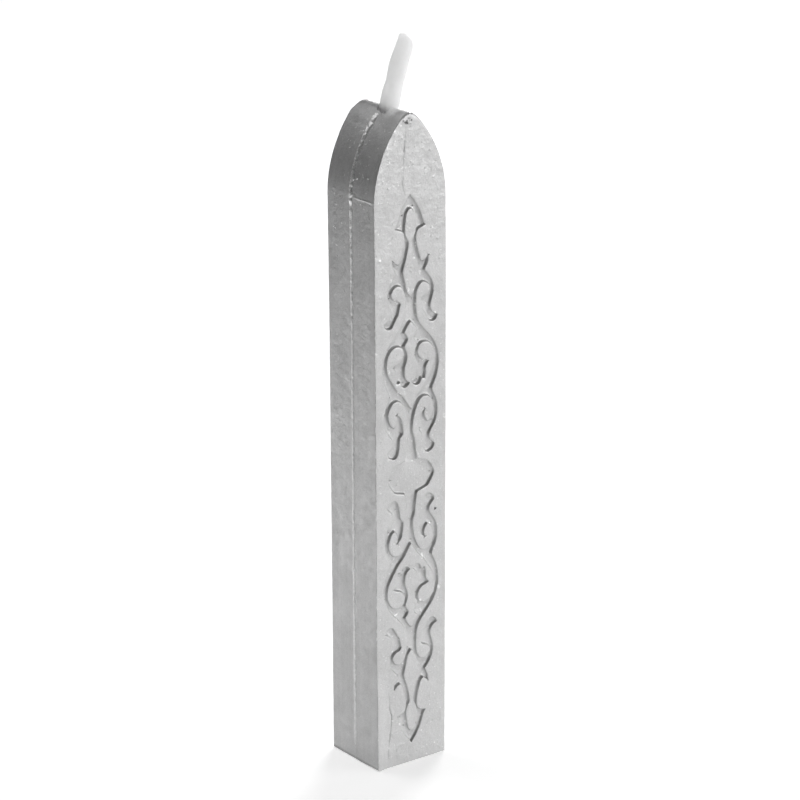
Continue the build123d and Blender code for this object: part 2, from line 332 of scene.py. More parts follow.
def bar_profile():
    """Rows round the broad face, from mid base to the right: place, outward normal and edge round."""
    half = BODY_WIDTH / 2
    rise = BODY_HEIGHT - APEX_ROUND - SHOULDER_HEIGHT
    span = BODY_WIDTH * math.cos(SHOULDER_BREAK) - 2 * rise * math.sin(SHOULDER_BREAK) - 2 * APEX_ROUND
    radius = (half**2 + rise**2 - APEX_ROUND**2) / span
    across = half - radius * math.cos(SHOULDER_BREAK)
    up = SHOULDER_HEIGHT - radius * math.sin(SHOULDER_BREAK)
    end_turn = math.atan2(BODY_HEIGHT - APEX_ROUND - up, -across)
    rows = []

    def arc(centre, size, start, stop, step, edge):
        count = max(2, round(size * abs(stop - start) / step))
        for k in range(count):
            turn = start + (stop - start) * k / count
            normal = (math.cos(turn), math.sin(turn))
            rows.append((centre[0] + size * normal[0], centre[1] + size * normal[1], *normal, edge))

    base_count = round((half - BASE_CORNER) / PERIMETER_STEP)
    for k in range(base_count):
        rows.append(((half - BASE_CORNER) * k / base_count, 0, 0, -1, BASE_EDGE_ROUND))
    middle_edge = (BASE_EDGE_ROUND + SIDE_EDGE_ROUND) / 2
    arc((half - BASE_CORNER, BASE_CORNER), BASE_CORNER, -math.pi / 2, 0, CORNER_STEP, middle_edge)
    plain_top = SHOULDER_HEIGHT - SHOULDER_ZONE
    heights = list(np.arange(BASE_CORNER, FOOT_ZONE, CORNER_STEP))
    heights += list(np.linspace(FOOT_ZONE, plain_top, round((plain_top - FOOT_ZONE) / PERIMETER_STEP)))
    heights += list(np.arange(plain_top + CORNER_STEP, SHOULDER_HEIGHT, SHOULDER_STEP))
    for z in heights:
        rows.append((half, z, 1, 0, SIDE_EDGE_ROUND))
    fine_end = SHOULDER_BREAK + SHOULDER_TURN
    arc((across, up), radius, SHOULDER_BREAK, fine_end, SHOULDER_STEP, SIDE_EDGE_ROUND)
    arc((across, up), radius, fine_end, end_turn, PERIMETER_STEP, SIDE_EDGE_ROUND)
    arc((0, BODY_HEIGHT - APEX_ROUND), APEX_ROUND, end_turn, math.pi / 2, PERIMETER_STEP / 2, SIDE_EDGE_ROUND)
    rows.append((0, BODY_HEIGHT, 0, 1, SIDE_EDGE_ROUND))
    right = np.array(rows)
    left = right[::-1][1:-1] * (-1, 1, -1, 1, 1)
    return np.concatenate([right, left])


def panel_depth(x, z, share, mark, seed):
    """How far the front of the panel lies behind the flat face, with the depth of any mark there."""
    depth = RELIEF_DEPTH * share * (1 + 0.12 * wobble((x, 3.0, z), 5.0, seed)) + mark
    depth += 0.03 * wobble((x, 0, z), 8.0, seed + 1)
    depth += 0.014 * wobble((x, 0, z), 1.6, seed + 2)
    depth += 0.008 * wobble((x, 0, z), 0.6, seed + 3)
    if seed == FRONT_SEED:
        depth -= 0.16 * ease(x, -3.9, -5.7) * ease(z, 15, 9)
    return depth


def ease(value, low, high):
    """Smooth step from 0 at low to 1 at high."""
    t = min(1.0, max(0.0, (value - low) / (high - low)))
    return t * t * (3 - 2 * t)


def warped(x, z):
    """Where a point of the plain bar lies across the real one, which flares and leans near the crown."""
    up = (z - BODY_HEIGHT / 2) / (BODY_HEIGHT / 2)
    return x * (1 + FLARE * up) + CROWN_LEAN * max(0.0, up) ** 2


def side_swell(x, y, z, seed):
    """How far the narrow sides stand proud of their plain form, fading out at the parting plane."""
    fade = ease(-y, 0.45, 1.0)
    swell = 0.025 * wobble((x, y, z), 6.0, seed + 4)
    swell += 0.016 * wobble((x, y, z), 1.5, seed + 5)
    swell += 0.009 * wobble((x, y, z), 0.6, seed + 6)
    if seed == FRONT_SEED:
        if x < 0:
            burr = 0.08 * math.exp(-((z - 79.0) / 0.1) ** 2)
            ragged = 1 + 0.5 * wobble((x, y, z), 0.7, seed + 7)
            swell += burr * ease(-y, 0.6, 1.2) * ease(-y, 4.95, 4.5) * ragged
        mound = 0.12 * math.exp(-((x + 0.6) / 0.7) ** 2 - ((y + 2.2) / 0.7) ** 2)
        swell += mound * ease(z, 86, 88.5)
        swell += 0.13 * math.exp(-((y + 3.7) / 1.2) ** 2) * ease(z, 88.3, 89.7)
    else:
        crown = 0.09 * ease(z, 84.5, 87.5) + 0.08 * math.exp(-((z - 88.7) / 0.6) ** 2)
        swell += crown * ease(-y, 0.6, 3.0)
    return swell * fade


def make_object(name, vertices, faces, material):
    """A mesh object from millimetre vertices."""
    mesh = bpy.data.meshes.new(name)
    mesh.from_pydata([Vector(v) * MM for v in vertices], [], faces)
    mesh.validate()
    mesh.update()
    obj = bpy.data.objects.new(name, mesh)
    bpy.context.scene.collection.objects.link(obj)
    mesh.materials.append(material)
    return obj


def smooth(obj, angle):
    """Smooth shading with edges sharper than the angle kept sharp."""
    mesh = obj.data
    mesh.polygons.foreach_set("use_smooth", [True] * len(mesh.polygons))
    mesh.set_sharp_from_angle(angle=math.radians(angle))


def panel_marks(hairlines, dots):
    """Lines of (across, up, depth) for the hairlines and loose points of the same kind for the dots."""
    lines = []
    for drawn, depth, half_width in hairlines:
        middle = np.array(smooth_run(drawn, OUTLINE_STEP))
        way = np.gradient(middle, axis=0)
        way /= np.linalg.norm(way, axis=1)[:, None]
        across = np.stack([-way[:, 1], way[:, 0]], axis=1)
        for offset, share in ((-1, 0), (0, 1), (1, 0)):
            line = middle + across * offset * half_width
            along = np.linspace(0, 1, len(line))
            strength = np.clip(np.minimum(along, 1 - along) * 8, 0, 1)
            strength *= [0.8 + 0.6 * wobble((x, 0, z), 1.2, 5) for x, z in middle]
            lines.append([(x, z, depth * share * k) for (x, z), k in zip(line, strength)])
    loose = []
    for x, z, radius, depth in dots:
        loose.append((x, z, depth))
        for size, share, count in ((0.5, 0.75, 6), (1.0, 0.0, 9)):
            for k in range(count):
                turn = 2 * math.pi * k / count + size
                reach = radius * size * (1 + 0.25 * math.sin(3 * turn + 5 * x))
                loose.append((x + reach * math.cos(turn), z + reach * math.sin(turn), depth * share))
    return lines, loose


def scattered_dots(seed, count, tree, taken):
    """Small pits and crumbs strewn over the panel, clear of the ornament's walls and of each other."""
    rng = np.random.default_rng(seed)
    dots = list(taken)
    while len(dots) < count + len(taken):
        x = rng.uniform(-5.2, 5.2)
        z = rng.uniform(0.6, 88.0)
        radius = rng.uniform(0.1, 0.18)
        depth = rng.uniform(0.02, 0.045) * rng.choice([1, -1, -1, -1, -1])
        room = BODY_WIDTH / 2 - 0.6 - max(0.0, z - SHOULDER_HEIGHT) ** 2 * 0.045
        if abs(x) > room or tree.find((x, z - ORNAMENT_MIDDLE, 0))[2] < WALL_PROFILE[-1][0] + 0.2:
            continue
        if all(math.hypot(x - a, z - b) > radius + r + 0.2 for a, b, r, _ in dots):
            dots.append((x, z, radius, depth))
    return dots


def wax_half(name, seed, hairlines, dots, material):
    """One half of the bar in front of the parting plane, as a closed mesh."""
    profile = bar_profile()
    loops, relief, tree, slack = relief_lines(seed)
    for row in profile:
        x, z = row[:2]
        if seed == FRONT_SEED:
            row[4] += (CROWN_EDGE_ROUND - SIDE_EDGE_ROUND) * ease(z, 88.6, 89.9)
        else:
            row[4] += (REAR_CROWN_ROUND - SIDE_EDGE_ROUND) * ease(z, 88.8, 90)
        nicks = 0.5 * wobble((x, 20.0, z), 0.9, seed) * ease(z, 72, 82) * ease(z, 89.5, 87)
        nicks += 0.7 * wobble((x, 40.0, z), 0.35, seed) * ease(z, 88.4, 89.4) * (seed == FRONT_SEED)
        row[4] *= 1 + nicks + 0.2 * wobble((x, 30.0, z), 3.0, seed)
    inset = profile[:, :2] - profile[:, 2:4] * profile[:, 4:5]
    points = [(x, z, 0.0, 0.0) for x, z in inset]
    edges = [(k, (k + 1) % len(points)) for k in range(len(points))]
    mark_lines, loose = panel_marks(hairlines, scattered_dots(seed, SCATTERED_DOTS, tree, dots))
    lines = [[e and (e[0], e[1] + ORNAMENT_MIDDLE, e[2], 0.0) for e in line] for line in relief]
    lines += [[(x, z, 0.0, depth) for x, z, depth in line] for line in mark_lines]
    for line in lines:
        last = None
        for entry in line:
            if entry is None:
                last = None
                continue
            points.append(entry)
            if last is not None:
                edges.append((last, len(points) - 1))
            last = len(points) - 1
    marks = [(x, z) for line in mark_lines for x, z, _ in line] + [(x, z) for x, z, _ in loose]
    mark_tree = KDTree(len(marks))
    for k, (x, z) in enumerate(marks):
        mark_tree.insert((x, z, 0), k)
    mark_tree.balance()
    spare = []
    wall_reach = WALL_PROFILE[-1][0] + 0.08
    for row, z in enumerate(np.arange(PANEL_STEP, BODY_HEIGHT, PANEL_STEP * 0.87)):
        for x in np.arange(-BODY_WIDTH / 2, BODY_WIDTH / 2, PANEL_STEP) + (row % 2) * PANEL_STEP / 2:
            clear = tree.find((x, z - ORNAMENT_MIDDLE, 0))[2] > 0.12 and mark_tree.find((x, z, 0))[2] > 0.12
            if clear and ring_depth(x, z, inset) > PANEL_STEP * 0.6:
                spare.append((x, z))
    spare = np.array(spare + [(x, z) for x, z, _ in loose])
    depths = [0.0] * (len(spare) - len(loose)) + [depth for _, _, depth in loose]
    deep = sunk(spare - (0, ORNAMENT_MIDDLE), loops)
    for (x, z), inside, depth in zip(spare, deep, depths):
        _, index, reach = tree.find((x, z - ORNAMENT_MIDDLE, 0))
        if reach > wall_reach:
            points.append((x, z, wall_share(reach, slack[index]) if inside else 0.0, depth))
        elif not inside and reach > 0.14:
            points.append((x, z, 0.0, depth))
    flat, _, triangles, origin, _, _ = delaunay_2d_cdt([Vector(p[:2]) for p in points], edges, [], 1, 1e-6)
    vertices = []
    where = {}
    for k, ((x, z), sources) in enumerate(zip(flat, origin)):
        share = max((points[s][2] for s in sources), default=0.5)
        mark = sum(points[s][3] for s in sources)
        for s in sources:
            where[s] = k
        vertices.append((x, -BODY_DEPTH / 2 + panel_depth(x, z, share, mark, seed), z))
    ring = [where[k] for k in range(len(profile))]
    faces = [tuple(t) for t in triangles]
    levels = [("round", k / EDGE_RINGS) for k in range(1, EDGE_RINGS + 1)]
    levels += [("wall", t) for t in np.linspace(0, 1, WALL_RINGS + 1)[1:]]
    start = [vertices[k][1] for k in ring]
    for kind, t in levels:
        fresh = []
        for (x, z, nx, nz, edge), front in zip(profile, start):
            if kind == "round":
                turn = t * math.pi / 2
                y = front + edge * (1 - math.cos(turn))
                out = -edge * (1 - math.sin(turn)) + side_swell(x, y, z, seed) * t
            else:
                y = (front + edge) * (1 - t)
                out = side_swell(x, y, z, seed)
            x += nx * out
            z += nz * out
            if seed == FRONT_SEED:
                worn = 0.32 * ease(-y, 0.3, 4.8)
                x = max(x, -BODY_WIDTH / 2 + (worn - z) * 0.9)
            fresh.append(len(vertices))
            vertices.append((x, y, z))
        for k in range(len(ring)):
            n = (k + 1) % len(ring)
            faces.append((ring[k], fresh[k], fresh[n], ring[n]))
        ring = fresh
    faces.append(tuple(reversed(ring)))
    if seed == FRONT_SEED:
        vertices = [(warped(x, z), y, z) for x, y, z in vertices]
    else:
        vertices = [(-warped(-x, z), y, z) for x, y, z in vertices]
    return make_object(name, vertices, faces, material)


def ring_depth(x, z, ring):
    """Distance from a point to a closed ring of points, negative outside it."""
    gap = float(np.min(np.hypot(ring[:, 0] - x, ring[:, 1] - z)))
    half = BODY_WIDTH / 2
    if abs(x) > half or z < 0:
        return -gap
    above = ring[(ring[:, 1] > SHOULDER_HEIGHT) & (np.sign(ring[:, 0]) == np.sign(x))]
    if z > SHOULDER_HEIGHT and len(above):
        limit = np.interp(z, np.sort(above[:, 1]), np.abs(above[np.argsort(above[:, 1]), 0]))
        if abs(x) > limit:
            return -gap
    return gap


def wick_line():
    """Points up the middle of the wick, read from a smooth curve through its route."""
    curve = bpy.data.curves.new("wick_route", "CURVE")
    curve.dimensions = "3D"
    spline = curve.splines.new("NURBS")
    spline.points.add(len(WICK_ROUTE) - 1)
    for point, (x, z) in zip(spline.points, WICK_ROUTE):
        point.co = (x, 0, z, 1)
    spline.order_u = 3
    spline.use_endpoint_u = True
    spline.resolution_u = 24
    holder = bpy.data.objects.new("wick_route", curve)
    mesh = bpy.data.meshes.new_from_object(holder)
    line = np.array([tuple(v.co) for v in mesh.vertices])
    bpy.data.objects.remove(holder)
    bpy.data.curves.remove(curve)
    bpy.data.meshes.remove(mesh)
    return line


def stations(line, distances):
    """Points and directions at given distances along a line."""
    steps = np.linalg.norm(np.diff(line, axis=0), axis=1)
    along = np.concatenate([[0], np.cumsum(steps)])
    points = np.array([[np.interp(d, along, line[:, k]) for k in range(3)] for d in distances])
    ahead = np.array([[np.interp(d + 0.2, along, line[:, k]) for k in range(3)] for d in distances])
    behind = np.array([[np.interp(d - 0.2, along, line[:, k]) for k in range(3)] for d in distances])
    ways = ahead - behind
    ways /= np.linalg.norm(ways, axis=1)[:, None]
    return points, ways


def tube_ring(point, way, radii):
    """A ring of points round a way that lies in the plane y = 0."""
    side = np.array([way[2], 0, -way[0]])
    depth = np.array([0, 1, 0])
    turns = np.arange(len(radii)) * 2 * math.pi / len(radii)
    return [point + r * (side * math.cos(t) + depth * math.sin(t)) for r, t in zip(radii, turns)]


def braid_lift(turn, along, strands, pitch):
    """Height between 0 and 1 of strands that cross each other round a cord."""
    one = math.cos(strands * turn + 2 * math.pi * along / pitch)
    other = math.cos(strands * turn - 2 * math.pi * along / pitch)
    return (max(one, other) + 1) / 2


def skin(rings, faces_from):
    """Quads between following rings of equal length, whose first vertex has the given index."""
    count = len(rings[0])
    faces = []
    for row in range(len(rings) - 1):
        for k in range(count):
            n = (k + 1) % count
            a = faces_from + row * count
            faces.append((a + k, a + n, a + count + n, a + count + k))
    return faces


def wick_swell(z):
    """How much thicker than inside the bar the wick is at a height."""
    heights, swells = zip(*WICK_SWELL)
    return float(np.interp(z, heights, swells))


def wick_coat(material):
    """The waxed outside of the wick: a tube inside the bar, solid above it, with a slanted, rounded tip."""
    line = wick_line()
    length = float(np.sum(np.linalg.norm(np.diff(line, axis=0), axis=1)))
    around = 56
    inside_bar = SOAKED_FROM - WICK_FOOT
    tube_rings = 60
    shown_step = 0.1
    distances = list(np.linspace(0, inside_bar, tube_rings))
    distances += list(np.arange(inside_bar + shown_step, length, shown_step))
    distances.append(length)
    points, ways = stations(line, distances)
    outer = []
    for d, point, way in zip(distances, points, ways):
        shown = ease(d, inside_bar, inside_bar + 1.5)
        radii = []
        for k in range(around):
            turn = k * 2 * math.pi / around
            spot = point + 1.2 * np.array([math.cos(turn), math.sin(turn), 0])
            radius = COAT_RADIUS + wick_swell(point[2])
            radius += shown * (0.08 * wobble(spot, 1.5, 31) + 0.03 * wobble(spot, 0.6, 32))
            radius += shown * 0.03 * (braid_lift(turn, d, 4, 3.6) - 0.5)
            radius += shown * 0.03 * math.cos(2 * turn + 0.3 * d)
            right = (1 + math.cos(turn)) / 2
            left_over = length - d - 0.45 * right
            closing = min(1.0, max(0.0, left_over / (0.35 + 1.05 * right)))
            radius *= math.sqrt(1 - (1 - closing) ** 2)
            radii.append(max(radius, 0.03))
        outer.append(tube_ring(point, way, radii))
    inside = zip(points[:tube_rings], ways[:tube_rings])
    inner = [tube_ring(point, way, [COAT_BORE] * around) for point, way in inside]
    vertices = [v for ring in outer for v in ring]
    faces = skin(outer, 0)
    last = len(vertices) - around
    faces.append(tuple(range(last, last + around)))
    first = len(vertices)
    vertices += [v for ring in inner for v in ring]
    faces += [tuple(reversed(f)) for f in skin(inner, first)]
    faces.append(tuple(reversed(range(len(vertices) - around, len(vertices)))))
    for k in range(around):
        n = (k + 1) % around
        faces.append((n, k, first + k, first + n))
    return make_object("wick_coat_skin", vertices, faces, material)


def cord_layer(name, outer_radius, bore, strands, pitch, lift, material):
    """A layer of the cord inside the coat, with the relief of its strands."""
    line = wick_line()
    length = float(np.sum(np.linalg.norm(np.diff(line, axis=0), axis=1)))
    around = strands * 8
    distances = np.arange(0, length - 1.8, 0.35)
    points, ways = stations(line, distances)
    outer = []
    for d, point, way in zip(distances, points, ways):
        turns = np.arange(around) * 2 * math.pi / around
        full = outer_radius + min(0.0, wick_swell(point[2])) * outer_radius / COAT_RADIUS
        radii = [full - lift * (1 - braid_lift(turn, d, strands, pitch)) for turn in turns]
        outer.append(tube_ring(point, way, radii))
    vertices = [v for ring in outer for v in ring]
    faces = skin(outer, 0)
    if not bore:
        faces.append(tuple(reversed(range(around))))
        faces.append(tuple(range(len(vertices) - around, len(vertices))))
        return make_object(name, vertices, faces, material)
    first = len(vertices)
    inner = []
    for point, way in zip(points, ways):
        narrowed = bore + min(0.0, wick_swell(point[2])) * bore / COAT_RADIUS
        inner.append(tube_ring(point, way, [narrowed] * around))
    vertices += [v for ring in inner for v in ring]
    faces += [tuple(reversed(f)) for f in skin(inner, first)]
    top = first - around
    top_inner = len(vertices) - around
    for k in range(around):
        n = (k + 1) % around
        faces.append((n, k, first + k, first + n))
        faces.append((top + k, top + n, top_inner + n, top_inner + k))
    return make_object(name, vertices, faces, material)


def cut_channel(obj, name):
    """Cuts the wick channel and the chipped pocket beside the wick out of a half."""
    line = wick_line()
    distances = np.concatenate([np.linspace(-0.01, 86, 40), np.arange(86.4, 96, 0.4)])
    points, ways = stations(line, distances)
    around = 40
    straight = [tube_ring(np.array([0, 0, z]), np.array([0, 0, 1]), [CHANNEL_RADIUS] * around)
                for z in np.linspace(-2, 93, 30)]
    leaning = [tube_ring(p, w, [CHANNEL_RADIUS] * around) for p, w in zip(points, ways)]
    for k, rings in enumerate((straight, leaning)):
        vertices = [v for ring in rings for v in ring]
        faces = skin(rings, 0)
        faces.append(tuple(reversed(range(around))))
        faces.append(tuple(range(len(vertices) - around, len(vertices))))
        cutter = make_object(f"{name}_cutter_{k}", vertices, faces, obj.data.materials[0])
        cut(obj, cutter)
    cut(obj, chip_cutter(f"{name}_chip", CHIP_PLACE, CHIP_RADII, obj.data.materials[0]))


def chip_cutter(name, middle, radii, material):
    """A lumpy ball that takes a chip out of the wax."""
    steps_up = 12
    around = 18
    rings = []
    for row in range(1, steps_up):
        tilt = math.pi * row / steps_up - math.pi / 2
        ring = []
        for k in range(around):
            turn = 2 * math.pi * k / around
            way = (math.cos(tilt) * math.cos(turn), math.cos(tilt) * math.sin(turn), math.sin(tilt))
            size = 1 + 0.25 * wobble([2 * w for w in way], 1.0, 41)
            ring.append(tuple(m + r * w * size for m, r, w in zip(middle, radii, way)))
        rings.append(ring)
    vertices = [v for ring in rings for v in ring]
    faces = skin(rings, 0)
    faces.append(tuple(reversed(range(around))))
    faces.append(tuple(range(len(vertices) - around, len(vertices))))
    return make_object(name, vertices, faces, material)


def cut(obj, cutter):
    """Takes the cutter out of a mesh and removes the cutter."""
    modifier = obj.modifiers.new("cut", "BOOLEAN")
    modifier.operation = "DIFFERENCE"
    modifier.solver = "EXACT"
    modifier.object = cutter
    graph = bpy.context.evaluated_depsgraph_get()
    graph.update()
    result = bpy.data.meshes.new_from_object(obj.evaluated_get(graph))
    obj.modifiers.clear()
    old = obj.data
    obj.data = result
    bpy.data.meshes.remove(old)
    mesh = cutter.data
    bpy.data.objects.remove(cutter)
    bpy.data.meshes.remove(mesh)


def seam_bead(name, side, seed, material):
    """The torn bead of wax along the parting line of one narrow side."""
    profile = bar_profile()
    rows = profile[(profile[:, 0] * side > 1.2) & (profile[:, 1] > 1.9)]
    rows = rows[np.argsort(rows[:, 1])]
    run = np.concatenate([[0], np.cumsum(np.hypot(*np.diff(rows[:, :2], axis=0).T))])
    total = run[-1]
    around = 11
    rings = []
    for d in np.arange(0, total, 0.12):
        x, z, nx, nz = (np.interp(d, run, rows[:, k]) for k in range(4))
        torn = ease(z, 74, 81)
        ends = min(1.0, d / 0.5 + 0.1, (total - d) / 0.4 + 0.4)
        ragged = 0.5 + 0.5 * torn
        width = 0.22 + 0.1 * torn + 0.12 * ease(z, 85.5, 88.5)
        width += ragged * (0.09 * wobble((x, 0, z), 1.6, seed) + 0.11 * wobble((x, 1, z), 0.45, seed))
        rise = 0.13 + 0.06 * torn
        rise += ragged * (0.05 * wobble((x, 2, z), 1.3, seed) + 0.07 * wobble((x, 3, z), 0.35, seed))
        drift = 0.05 * wobble((x, 4, z), 4.0, seed) + torn * 0.14 * wobble((x, 5, z), 1.0, seed)
        ring = []
        for k in range(around):
            turn = math.pi * k / (around - 1)
            lift = math.sin(turn) ** (0.6 + 0.5 * max(0.0, math.cos(turn))) * max(0.04, rise) * ends
            lift += torn * 0.08 * wobble((x, 6 + 0.3 * k, z), 0.35, seed) * math.sin(turn)
            lift -= 0.04 * ease(z, 86, 88) * math.exp(-((turn - math.pi / 2) / 0.45) ** 2)
            out = -0.03 + max(0.0, lift)
            across = math.cos(turn) + 0.3 * math.cos(turn) ** 2
            ring.append((x + nx * out, drift - across * width * ends, z + nz * out))
        for k in (around - 2, around // 2, 1):
            ring.append((x - nx * 0.06, ring[k][1], z - nz * 0.06))
        rings.append([(warped(a, c), b, c) for a, b, c in ring])
    vertices = [v for ring in rings for v in ring]
    faces = skin(rings, 0)
    count = len(rings[0])
    foot = tuple(range(count))
    head = tuple(range(len(vertices) - count, len(vertices)))
    faces.append(tuple(reversed(foot)))
    faces.append(head)
    if side > 0:
        faces = [tuple(reversed(f)) for f in faces]
    return make_object(name, vertices, faces, material)


class Nodes:
    """Short helper for building a material's node tree."""

    def __init__(self, name):
        self.material = bpy.data.materials.new(name)
        self.material.use_nodes = True
        self.tree = self.material.node_tree
        self.shader = self.tree.nodes["Principled BSDF"]
        self.place = self.add("ShaderNodeTexCoord").outputs["Object"]

    def add(self, kind, **settings):
        node = self.tree.nodes.new(kind)
        for key, value in settings.items():
            setattr(node, key, value)
        return node

    def link(self, source, target):
        self.tree.links.new(source, target)

    def noise(self, scale, detail=3.0, rough=0.55):
        node = self.add("ShaderNodeTexNoise")
        node.inputs["Scale"].default_value = scale
        node.inputs["Detail"].default_value = detail
        node.inputs["Roughness"].default_value = rough
        self.link(self.place, node.inputs["Vector"])
        return node.outputs["Fac"]

    def cells(self, scale):
        node = self.add("ShaderNodeTexVoronoi")
        node.inputs["Scale"].default_value = scale
        self.link(self.place, node.inputs["Vector"])
        return node

    def spread(self, source, low, high, from_low=0.0, from_high=1.0):
        node = self.add("ShaderNodeMapRange")
        node.inputs["From Min"].default_value = from_low
        node.inputs["From Max"].default_value = from_high
        node.inputs["To Min"].default_value = low
        node.inputs["To Max"].default_value = high
        self.link(source, node.inputs["Value"])
        return node.outputs["Result"]

    def math(self, operation, first, second):
        node = self.add("ShaderNodeMath", operation=operation)
        for socket, value in zip(node.inputs, (first, second)):
            if isinstance(value, (int, float)):
                socket.default_value = value
            else:
                self.link(value, socket)
        return node.outputs["Value"]

    def channel(self, colour):
        node = self.add("ShaderNodeSeparateColor")
        self.link(colour, node.inputs["Color"])
        return node.outputs["Red"]

    def upward(self):
        node = self.add("ShaderNodeSeparateXYZ")
        self.link(self.place, node.inputs["Vector"])
        return node.outputs["Z"]

    def nearness(self, point, reach):
        """1 at a point of the bar, falling to 0 at the given distance from it."""
        node = self.add("ShaderNodeVectorMath", operation="DISTANCE")
        self.link(self.place, node.inputs[0])
        node.inputs[1].default_value = point
        return self.spread(node.outputs["Value"], 1.0, 0.0, 0.0, reach)

    def sideways(self):
        """How far the surface faces away from the front and the rear, from 0 to 1."""
        node = self.add("ShaderNodeSeparateXYZ")
        self.link(self.add("ShaderNodeTexCoord").outputs["Normal"], node.inputs["Vector"])
        return self.spread(self.math("ABSOLUTE", node.outputs["Y"], 0), 1.0, 0.0, 0.2, 0.7)

    def streaks(self, scale, stretch):
        """Noise drawn out along the height of the bar."""
        flat = self.add("ShaderNodeMapping")
        flat.inputs["Scale"].default_value = (1, 1, stretch)
        self.link(self.place, flat.inputs["Vector"])
        node = self.add("ShaderNodeTexNoise")
        node.inputs["Scale"].default_value = scale
        self.link(flat.outputs["Vector"], node.inputs["Vector"])
        return node.outputs["Fac"]

    def tilted(self, normal, colour, share):
        """The normal leaned over by a random colour, as on a flake that lies askew."""
        lean = self.add("ShaderNodeVectorMath", operation="SUBTRACT")
        self.link(colour, lean.inputs[0])
        lean.inputs[1].default_value = (0.5, 0.5, 0.5)
        scaled = self.add("ShaderNodeVectorMath", operation="SCALE")
        self.link(lean.outputs["Vector"], scaled.inputs[0])
        self.link(self.math("MULTIPLY", share, 1.2), scaled.inputs["Scale"])
        total = self.add("ShaderNodeVectorMath", operation="ADD")
        self.link(normal, total.inputs[0])
        self.link(scaled.outputs["Vector"], total.inputs[1])
        unit = self.add("ShaderNodeVectorMath", operation="NORMALIZE")
        self.link(total.outputs["Vector"], unit.inputs[0])
        return unit.outputs["Vector"]

    def grey(self, value):
        node = self.add("ShaderNodeCombineColor")
        for socket in node.inputs:
            self.link(value, socket)
        return node.outputs["Color"]

    def bump(self, height, strength, distance, normal=None):
        node = self.add("ShaderNodeBump")
        node.inputs["Strength"].default_value = strength
        node.inputs["Distance"].default_value = distance
        self.link(height, node.inputs["Height"])
        if normal:
            self.link(normal, node.inputs["Normal"])
        return node.outputs["Normal"]


def silver_wax(name, tone, top_tone, patch_scale, patch_share, rough, top_rough):
    """Satin wax with fine mica: speckle, cloudy tone, glinting flakes, fine grain and pale rubbed edges, with
    painted shade in creases, a painted contact shadow at the foot of the narrow sides and flakes painted
    paler as glints.
    """
    n = Nodes(name)
    flakes = n.cells(9000)
    fleck = n.spread(flakes.outputs["Color"], -0.06, 0.06)
    cloud = n.spread(n.noise(patch_scale, 4), -patch_share, patch_share, 0.3, 0.7)
    curve = n.add("ShaderNodeNewGeometry").outputs["Pointiness"]
    patches = n.spread(n.noise(1800, 3), 0.0, 0.4, 0.44, 0.6)
    rubbed = n.math("MULTIPLY", n.spread(curve, 0.0, 1.0, 0.53, 0.64), patches)
    # Painted shade: darker base colour where the surface curves inward, in creases and at the foot of walls
    crease_shade = n.spread(curve, -0.1, 0.0, 0.38, 0.48)
    glints = n.cells(2200)
    near = n.spread(glints.outputs["Distance"], 1.0, 0.0, 0.12, 0.26)
    chosen = n.math("GREATER_THAN", n.channel(glints.outputs["Color"]), 0.6)
    glint = n.math("MULTIPLY", near, chosen)
    side = n.sideways()
    # Painted shadow: the narrow sides darken in their lowest 0.6 mm, standing in for the contact shadow at
    # the foot
    foot_shadow = n.math("MULTIPLY", n.spread(n.upward(), -0.3, 0.0, 0.0002, 0.0006), side)
    streaks = n.math("MULTIPLY", n.spread(n.streaks(1400, 0.03), -0.025, 0.025, 0.3, 0.7), side)
    # Tone from the lower to the upper height: on the bead wax the paler top is partly painted light
    height = n.spread(n.upward(), tone, top_tone, TONE_FROM * MM, TONE_TO * MM)
    value = n.math("ADD", n.math("ADD", n.math("ADD", fleck, cloud), n.math("ADD", streaks, foot_shadow)), height)
    smeared = n.nearness([value * MM for value in SMEAR_PLACE], SMEAR_REACH * MM)
    smear = n.math("MULTIPLY", smeared, n.spread(n.noise(1800, 3), 0.3, 0.9))
    value = n.math("ADD", value, n.math("ADD", smear, n.math("ADD", rubbed, crease_shade)))
    # Flakes painted paler, more on the sides than on the front: partly the mica's own paleness, partly
    # painted glint
    value = n.math("ADD", value, n.math("MULTIPLY", glint, n.spread(side, 0.12, 0.26)))
    n.link(n.grey(value), n.shader.inputs["Base Color"])
    dull = n.spread(n.noise(900, 3), 0.0, 0.14, 0.3, 0.7)
    sheen = n.math("ADD", dull, n.spread(n.upward(), rough, top_rough, TONE_FROM * MM, TONE_TO * MM))
    sheen = n.math("ADD", sheen, n.spread(flakes.outputs["Color"], -0.07, 0.07))
    n.link(n.math("SUBTRACT", sheen, n.math("MULTIPLY", glint, 0.15)), n.shader.inputs["Roughness"])
    n.shader.inputs["Metallic"].default_value = 0.35
    first = n.bump(n.noise(3200, 3), 0.4, 0.00007)
    grain = n.bump(n.noise(1100, 3), 0.4, 0.00016, first)
    n.link(n.tilted(grain, glints.outputs["Color"], glint), n.shader.inputs["Normal"])
    return n.material


def white_wick_wax():
    """White wax soaked into the cord's end, so translucent that light passes through it."""
    n = Nodes("white_wick_wax")
    value = n.math("ADD", n.spread(n.noise(900, 3), -0.02, 0.02, 0.3, 0.7), 0.95)
    n.link(n.grey(value), n.shader.inputs["Base Color"])
    n.link(n.spread(n.noise(1500, 2), 0.55, 0.75, 0.3, 0.7), n.shader.inputs["Roughness"])
    n.shader.inputs["Subsurface Weight"].default_value = 1.0
    n.shader.inputs["Subsurface Radius"].default_value = (1, 1, 1)
    n.shader.inputs["Subsurface Scale"].default_value = 0.02
    n.link(n.bump(n.noise(2200, 3), 0.25, 0.00005), n.shader.inputs["Normal"])
    return n.material


